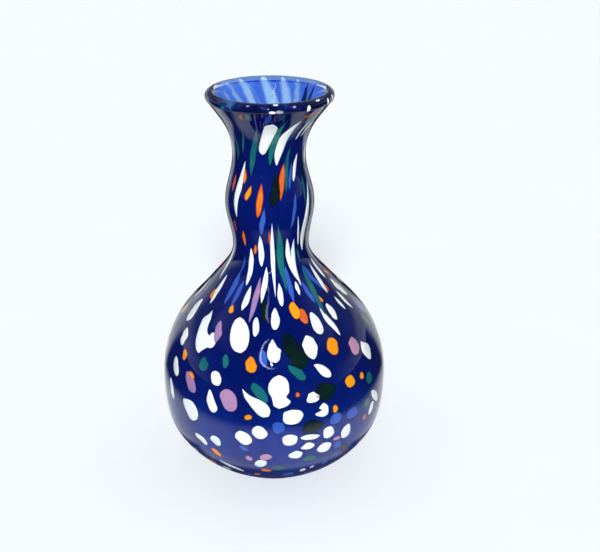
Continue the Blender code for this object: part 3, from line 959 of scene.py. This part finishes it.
# --- small chips caught in the roll of the lip --------------------------------
# colour, azimuth, place over the roll (0 outermost, 90 its crest), length
# around the lip, width over the roll, tone
LIP_CHIPS = [
    # the first white chip and the pale one beside it, at the front of the roll, stand partly for the flash's glint
    # there: real chips and a painted highlight
    ("white", 2, -18, 2.6, 1.3, 0.7), ("pale", 8, -16, 3.4, 1.8, 0.1),
    ("white", 35, -8, 1.7, 3.0, 0.3), ("white", 61, 8, 1.4, 2.6, 0.4),
    ("white", 72, 22, 1.2, 2.0, 0.6), ("mauve", 21, 28, 1.6, 1.2, 0.1),
    ("mauve", -19, 42, 1.5, 0.9, 0.0), ("white", 5, 62, 2.2, 0.9, 0.8),
    ("white", 47, 52, 2.4, 0.9, 0.7), ("teal", -44, -14, 3.0, 1.8, 0.2),
    ("blue", 96, -6, 3.5, 1.8, 0.3), ("white", -88, -10, 1.8, 2.2, 0.5),
]


def lip_lens(chip, seed):
    colour, azimuth, over, length, width, tone = chip
    half = outline("", "oval", seed)

    def place(t, s, body):
        w = half(-t, 1 if s > 0 else -1) * width / 2 * s
        reach = LIP_ROLL + 0.035 * body if body > 0 else LIP_ROLL + 0.4 * body
        e = math.radians(over) + w / LIP_ROLL
        r = LIP_RADIUS + reach * math.cos(e)
        z = HEIGHT - LIP_ROLL + reach * math.sin(e)
        a = math.radians(azimuth) + t * length / 2 / (LIP_RADIUS + LIP_ROLL)
        return to_world(r * math.sin(a), -r * math.cos(a), z)

    return 16, 8, place, tone, length, lambda t, side: half(-t, side) * width / 2


for index, chip in enumerate(LIP_CHIPS):
    small.setdefault(chip[0], []).append(lip_lens(chip, 5000 + index))

# the small chips and the lip's, all those of a colour together
for colour, lenses in small.items():
    name = "small_chips_" + colour
    obj = add_object(name, lens_mesh(name, lenses))
    obj.data.materials.append(MATERIALS["frit_" + colour])
    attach(obj, "root")


# --- the two shells --------------------------------------------------------
AROUND = 240


def rows_between(low, high, step):
    n = max(2, int(round((high - low) / step)))
    return [low + (high - low) * k / n for k in range(n + 1)]


def shell(name, profile, kinds, materials, pressed=None):
    """Solid of revolution; kinds[i] is the material of the band i to i + 1."""
    bm = bmesh.new()
    rings = []
    for r, z in profile:
        if r < 1e-6:
            rings.append([bm.verts.new(to_world(0.0, -1e-6, z))])
        else:
            ring = []
            for k in range(AROUND):
                a = 2 * math.pi * k / AROUND
                ring.append(bm.verts.new(to_world(r * math.sin(a), -r * math.cos(a), z)))
            rings.append(ring)
    for i, (a, b) in enumerate(zip(rings, rings[1:])):
        for k in range(AROUND):
            k2 = (k + 1) % AROUND
            if len(a) == 1:
                f = bm.faces.new((a[0], b[k], b[k2]))
            elif len(b) == 1:
                f = bm.faces.new((a[k], b[0], a[k2]))
            else:
                f = bm.faces.new((a[k], b[k], b[k2], a[k2]))
            f.material_index = kinds[i]
    bm.normal_update()
    if bm.calc_volume(signed=True) < 0:
        bmesh.ops.reverse_faces(bm, faces=bm.faces)
    mesh = bpy.data.meshes.new(name)
    bm.to_mesh(mesh)
    bm.free()
    obj = add_object(name, mesh)
    mesh.set_sharp_from_angle(angle=math.radians(38))
    for m in materials:
        mesh.materials.append(m)
    return obj


HEIGHTS = rows_between(0.0, 8.0, 0.8)[:-1] + rows_between(8.0, CASING_TOP, 0.95)
FLOOR = layer(0.0, 0.0)[1] - 0.4


def lip_roll(start, end, count):
    centre_z = HEIGHT - LIP_ROLL
    for k in range(count + 1):
        a = math.radians(start + (end - start) * k / count)
        yield LIP_RADIUS + LIP_ROLL * math.cos(a), centre_z + LIP_ROLL * math.sin(a)


def blend_up(points, target, count):
    """Carries the inside wall smoothly on to the lip."""
    (r0, z0), (r1, z1) = points[-2], points[-1]
    dr, dz = r1 - r0, z1 - z0
    length = math.hypot(dr, dz)
    (tr, tz), (sr, sz) = target[0], target[1]
    er, ez = sr - tr, sz - tz
    elen = math.hypot(er, ez)
    span = math.hypot(tr - r1, tz - z1)
    out = []
    for k in range(1, count):
        t = k / count
        a, b = (1 + 2 * t) * (1 - t) ** 2, t * (1 - t) ** 2
        c, d = t * t * (3 - 2 * t), t * t * (t - 1)
        out.append((a * r1 + b * span * dr / length + c * tr + d * span * er / elen,
                    a * z1 + b * span * dz / length + c * tz + d * span * ez / elen))
    return out


# cobalt bubble: inside wall, lip, step, contact face
inside = [(0.0, FLOOR + BUBBLE_WALL + SEAM), (6.0, FLOOR + BUBBLE_WALL + SEAM + 0.02),
          (12.0, FLOOR + BUBBLE_WALL + SEAM + 0.08)]
inside += [layer(z, BUBBLE_WALL + SEAM) for z in HEIGHTS if z < CASING_TOP - 7.0]
roll = list(lip_roll(112, -40, 26))
inside += blend_up(inside, roll, 9)
step = [skin(CASING_TOP + SEAM)]
under = [layer(CASING_TOP + SEAM, SEAM)]
outer = [layer(z, SEAM) for z in reversed(HEIGHTS)]
outer = [p for p in outer if p[1] < under[0][1] - 0.3]
bottom = [(12.0, FLOOR + 0.06), (6.0, FLOOR + 0.02), (0.0, FLOOR)]
profile = inside + roll + step + under + outer + bottom
kinds = []
for i in range(len(profile) - 1):
    if i < len(inside) + 3:
        kinds.append(0)
    elif i < len(inside) + len(roll) - 1:
        kinds.append(1)
    else:
        kinds.append(2)
kinds[len(inside) + len(roll)] = 3       # the flat step on top of the casing adds no colour
bubble = shell("cobalt_glass_bubble", profile, kinds,
               [MATERIALS["bubble_inside"], MATERIALS["lip"], MATERIALS["bubble_contact"], MATERIALS["casing_contact"]])

# where a chip was pressed into the cobalt, the cobalt behind it is thinner
verts = bubble.data.vertices
co = np.empty(len(verts) * 3)
verts.foreach_get("co", co)
co = co.reshape(-1, 3) / MM
lean_x = np.interp(co[:, 2], [p[0] for p in LEAN], [p[1] for p in LEAN])
v_az = np.degrees(np.arctan2(co[:, 0] - lean_x, -co[:, 1]))
v_z = co[:, 2]
v_r = np.interp(v_z, BED_Z, BED_R)
v_arc = np.interp(v_z, BED_Z, _arc)
value = np.zeros(len(verts))
order = np.argsort(v_z)
z_sorted = v_z[order]
for chip in all_chips:
    strength = {"white": 1.0, "black": 0.0, "olive": 0.0, "teal": 0.5, "pale": 0.9}.get(chip[0], 0.6)
    if not strength:
        continue
    for az, along_glass, w, _, z in chip_points(chip):
        i0, i1 = np.searchsorted(z_sorted, [z - w - 1.0, z + w + 1.0])
        ids = order[i0:i1]
        da = (v_az[ids] - az + 180) % 360 - 180
        d = np.hypot(np.radians(da) * v_r[ids], v_arc[ids] - along_glass)
        reach = 0.3 if chip[0] == "pale" else -0.5
        value[ids] = np.maximum(value[ids], strength * np.clip((w + reach - d) / 0.8, 0, 1))
attr = bubble.data.attributes.new("pressed", "FLOAT", "POINT")
attr.data.foreach_set("value", value)
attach(bubble, "root")
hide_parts("cobalt_bubble")

# clear casing: contact face inside, skin outside, foot ring, pontil hollow
inner = [(0.0, FLOOR - SEAM), (6.0, FLOOR - SEAM), (12.0, FLOOR + 0.02)]
inner += [layer(z, -CHIP_ROOM * min(1.0, max(0.02, (z - 3) / 8))) for z in HEIGHTS]
skin_rows = [skin(z) for z in reversed(HEIGHTS) if z > 1.2]
heel = [(22.9, 0.62), (22.0, 0.24), (21.2, 0.06), (FOOT_RADIUS, 0.0), (17.0, 0.0)]
foot = [(PONTIL_RADIUS + 0.3, 0.0), (PONTIL_RADIUS - 0.2, 0.12)]
foot += [(PONTIL_RADIUS * c, PONTIL_DEPTH * (1 - c * c) + 0.08) for c in (0.9, 0.75, 0.55, 0.3)]
foot += [(0.0, PONTIL_DEPTH + 0.08)]
profile = inner + skin_rows + heel + foot
kinds = [0 if i < len(inner) else 1 for i in range(len(profile) - 1)]
casing = shell("clear_glass_casing", profile, kinds,
               [MATERIALS["casing_contact"], MATERIALS["casing_skin"]])
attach(casing, "root")
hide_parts("clear_casing")


# --- floor, light and camera -----------------------------------------------
def stage_floor():
    bm = bmesh.new()
    bmesh.ops.create_circle(bm, cap_ends=True, segments=96, radius=30.0)
    mesh = bpy.data.meshes.new("floor")
    bm.to_mesh(mesh)
    bm.free()
    obj = bpy.data.objects.new("floor", mesh)
    bpy.context.scene.collection.objects.link(obj)
    mat, nt, out = new_material("floor_paper")
    p = node(nt, "ShaderNodeBsdfDiffuse")
    grain = noise(nt, (1, 1, 1), 12.0, 2.0)
    paper = ramp(nt, grain.outputs["Fac"], [(0.3, (0.86, 0.90, 0.925)), (0.7, (0.875, 0.915, 0.94))])
    # seen in the glass only, the paper's colour carries painted shade: it is pale close round the vase, painted dim
    # further off, with two long pale wedges behind, left and right, that the glass shows as painted reflections, a
    # painted shadow of the vase in a strip behind it and a painted contact shadow under it
    tc = nt.nodes.new("ShaderNodeTexCoord")
    sep = nt.nodes.new("ShaderNodeSeparateXYZ")
    nt.links.new(tc.outputs["Object"], sep.inputs[0])

    def maths(operation, one, two=0.0):
        m = node(nt, "ShaderNodeMath", operation=operation)
        for socket, value in ((m.inputs[0], one), (m.inputs[1], two)):
            if isinstance(value, float):
                socket.default_value = value
            else:
                nt.links.new(value, socket)
        return m.outputs["Value"]

    def smooth(value, low, high, to_low, to_high):
        m = node(nt, "ShaderNodeMapRange", interpolation_type="SMOOTHSTEP")
        for key_name, number in (("From Min", low), ("From Max", high), ("To Min", to_low), ("To Max", to_high)):
            m.inputs[key_name].default_value = number
        nt.links.new(value, m.inputs["Value"])
        return m.outputs["Result"]

    x, y = sep.outputs["X"], sep.outputs["Y"]
    reach = maths("SQRT", maths("ADD", maths("MULTIPLY", x, x), maths("MULTIPLY", y, y)))
    # painted shade further off: past about 0.11 to 0.16 m the paper is dark in the glass, save two pale wedges behind,
    # left and right, that give painted reflections
    away = smooth(reach, 0.112, 0.158, 0.0, 1.0)
    turn = maths("ARCTAN2", maths("ABSOLUTE", x), y)
    pale_reflection_wedge = maths("MULTIPLY", smooth(turn, math.radians(24), math.radians(30), 0.0, 1.0),
                  smooth(turn, math.radians(46), math.radians(56), 1.0, 0.0))
    far_painted_shade = maths("MULTIPLY", away, maths("SUBTRACT", 1.0, pale_reflection_wedge))
    # painted shadow of the vase: a dark strip on the paper behind it, seen only in the glass
    shade = maths("MULTIPLY", smooth(maths("ABSOLUTE", x), 0.056, 0.066, 0.95, 0.0), smooth(y, -0.040, -0.020, 0.0, 1.0))
    # painted contact shadow: the paper under the vase is dark, seen only in the glass
    under = smooth(reach, 0.046, 0.056, 0.95, 0.0)
    painted_shade_in_glass = maths("MAXIMUM", maths("MAXIMUM", shade, under), far_painted_shade)
    path = nt.nodes.new("ShaderNodeLightPath")
    mirrored = maths("MULTIPLY", path.outputs["Is Glossy Ray"],
                     maths("SUBTRACT", 1.0, path.outputs["Is Transmission Ray"]))
    seen = maths("MULTIPLY", painted_shade_in_glass, mirrored)
    nt.links.new(blend(nt, seen, paper, (0.025, 0.028, 0.034)), p.inputs["Color"])
    # seen through glass the paper glows, painted light that stays evenly pale, shadow or not
    glow_through_glass = node(nt, "ShaderNodeEmission")
    glow_through_glass.inputs["Color"].default_value = (0.90, 0.94, 0.96, 1)
    mix = nt.nodes.new("ShaderNodeMixShader")
    nt.links.new(path.outputs["Is Transmission Ray"], mix.inputs["Fac"])
    nt.links.new(p.outputs["BSDF"], mix.inputs[1])
    nt.links.new(glow_through_glass.outputs["Emission"], mix.inputs[2])
    nt.links.new(mix.outputs["Shader"], out.inputs["Surface"])
    mesh.materials.append(mat)
    return obj


floor = stage_floor()

# soft studio surroundings: pale low down, a grey wall above that, a long soft
# box higher up at the sides and back, and a dim side behind the camera
world = bpy.data.worlds.new("studio")
bpy.context.scene.world = world
world.use_nodes = True
nt = world.node_tree
nt.nodes.clear()
out = nt.nodes.new("ShaderNodeOutputWorld")
tc = nt.nodes.new("ShaderNodeTexCoord")
sep = nt.nodes.new("ShaderNodeSeparateXYZ")
nt.links.new(tc.outputs["Generated"], sep.inputs[0])
up = ramp(nt, sep.outputs["Z"], [
    (0.0, (0.80, 0.81, 0.83)), (0.14, (0.60, 0.62, 0.63)), (0.24, (0.15, 0.17, 0.17)),
    (0.50, (0.14, 0.16, 0.15)), (0.56, (0.60, 0.62, 0.60)), (0.70, (0.60, 0.62, 0.60)),
    (0.78, (0.16, 0.17, 0.18)), (1.0, (0.16, 0.17, 0.18))])
side = node(nt, "ShaderNodeMapRange", interpolation_type="SMOOTHSTEP")
side.inputs["From Min"].default_value = -0.60
side.inputs["From Max"].default_value = 0.45
side.inputs["To Min"].default_value = 0.08
nt.links.new(sep.outputs["Y"], side.inputs["Value"])
level = node(nt, "ShaderNodeMath", operation="MULTIPLY")
nt.links.new(side.outputs["Result"], level.inputs[0])
level.inputs[1].default_value = 1.0
bg = node(nt, "ShaderNodeBackground")
nt.links.new(up, bg.inputs["Color"])
nt.links.new(level.outputs["Value"], bg.inputs["Strength"])
toward = node(nt, "ShaderNodeVectorMath", operation="DOT_PRODUCT")
nt.links.new(tc.outputs["Generated"], toward.inputs[0])
toward.inputs[1].default_value = (-0.036, -0.730, 0.682)
ring = ramp(nt, toward.outputs["Value"], [
    (0.0, (0, 0, 0)), (0.9800, (0, 0, 0)), (0.9806, (1, 1, 1)), (0.9826, (1, 1, 1)), (0.9832, (0, 0, 0)), (1.0, (0, 0, 0))])
lower = node(nt, "ShaderNodeVectorMath", operation="DOT_PRODUCT")
nt.links.new(tc.outputs["Generated"], lower.inputs[0])
lower.inputs[1].default_value = (-0.72, 0.36, -0.60)
part = node(nt, "ShaderNodeMapRange", interpolation_type="SMOOTHSTEP")
part.inputs["From Min"].default_value = -0.66
part.inputs["From Max"].default_value = -0.54
nt.links.new(lower.outputs["Value"], part.inputs["Value"])
arc_light = node(nt, "ShaderNodeMath", operation="MULTIPLY")
nt.links.new(ring, arc_light.inputs[0])
nt.links.new(part.outputs["Result"], arc_light.inputs[1])
arc_power = node(nt, "ShaderNodeMath", operation="MULTIPLY")
nt.links.new(arc_light.outputs["Value"], arc_power.inputs[0])
arc_power.inputs[1].default_value = 16.0
arc_bg = node(nt, "ShaderNodeBackground")
nt.links.new(arc_power.outputs["Value"], arc_bg.inputs["Strength"])
both = nt.nodes.new("ShaderNodeAddShader")
nt.links.new(bg.outputs["Background"], both.inputs[0])
nt.links.new(arc_bg.outputs["Background"], both.inputs[1])
plain = node(nt, "ShaderNodeBackground")
plain.inputs["Color"].default_value = (0.93, 0.955, 0.965, 1)
path = nt.nodes.new("ShaderNodeLightPath")
fill = node(nt, "ShaderNodeBackground")
fill.inputs["Color"].default_value = (0.98, 0.99, 1.0, 1)
fill.inputs["Strength"].default_value = 0.31
matt = nt.nodes.new("ShaderNodeMixShader")
nt.links.new(path.outputs["Is Diffuse Ray"], matt.inputs["Fac"])
nt.links.new(both.outputs["Shader"], matt.inputs[1])
nt.links.new(fill.outputs["Background"], matt.inputs[2])
mix = nt.nodes.new("ShaderNodeMixShader")
nt.links.new(path.outputs["Is Camera Ray"], mix.inputs["Fac"])
nt.links.new(matt.outputs["Shader"], mix.inputs[1])
nt.links.new(plain.outputs["Background"], mix.inputs[2])
nt.links.new(mix.outputs["Shader"], out.inputs["Surface"])


def lamp(name, kind, place, aim, power, size=0.0):
    data = bpy.data.lights.new(name, kind)
    if kind == "SUN":
        data.angle = size
    else:
        data.shape = "DISK"
        data.size = size
    data.energy = power
    obj = bpy.data.objects.new(name, data)
    obj.location = place
    obj.rotation_euler = (Vector(aim) - Vector(place)).to_track_quat("-Z", "Y").to_euler()
    bpy.context.scene.collection.objects.link(obj)
    return obj


centre = (0.0, 0.0, 0.5 * HEIGHT * MM)
key = lamp("key", "SUN", (-0.02, -1.0, 0.76), centre, 4.3, math.radians(18))
key.visible_glossy = False
key.visible_transmission = False
lamp("flash", "AREA", (-0.016, -0.352, 0.300), centre, 0.06, 0.016)

cam_data = bpy.data.cameras.new("camera")
cam_data.lens = 51.0
cam_data.sensor_width = 36.0
cam = bpy.data.objects.new("camera", cam_data)
bpy.context.scene.collection.objects.link(cam)
pitch, yaw, turn = math.radians(25.86), math.radians(2.01), math.radians(0.24)
forward = Vector((math.sin(yaw) * math.cos(pitch), math.cos(yaw) * math.cos(pitch), -math.sin(pitch)))
right = forward.cross(Vector((0, 0, 1))).normalized()
up_axis = right.cross(forward)
r2 = right * math.cos(turn) + up_axis * math.sin(turn)
u2 = up_axis * math.cos(turn) - right * math.sin(turn)
cam.matrix_world = Matrix(((r2.x, u2.x, -forward.x, 0.0),
                           (r2.y, u2.y, -forward.y, -0.3585),
                           (r2.z, u2.z, -forward.z, 0.2730),
                           (0, 0, 0, 1)))
bpy.context.scene.camera = cam
bpy.context.scene.view_settings.view_transform = "Standard"
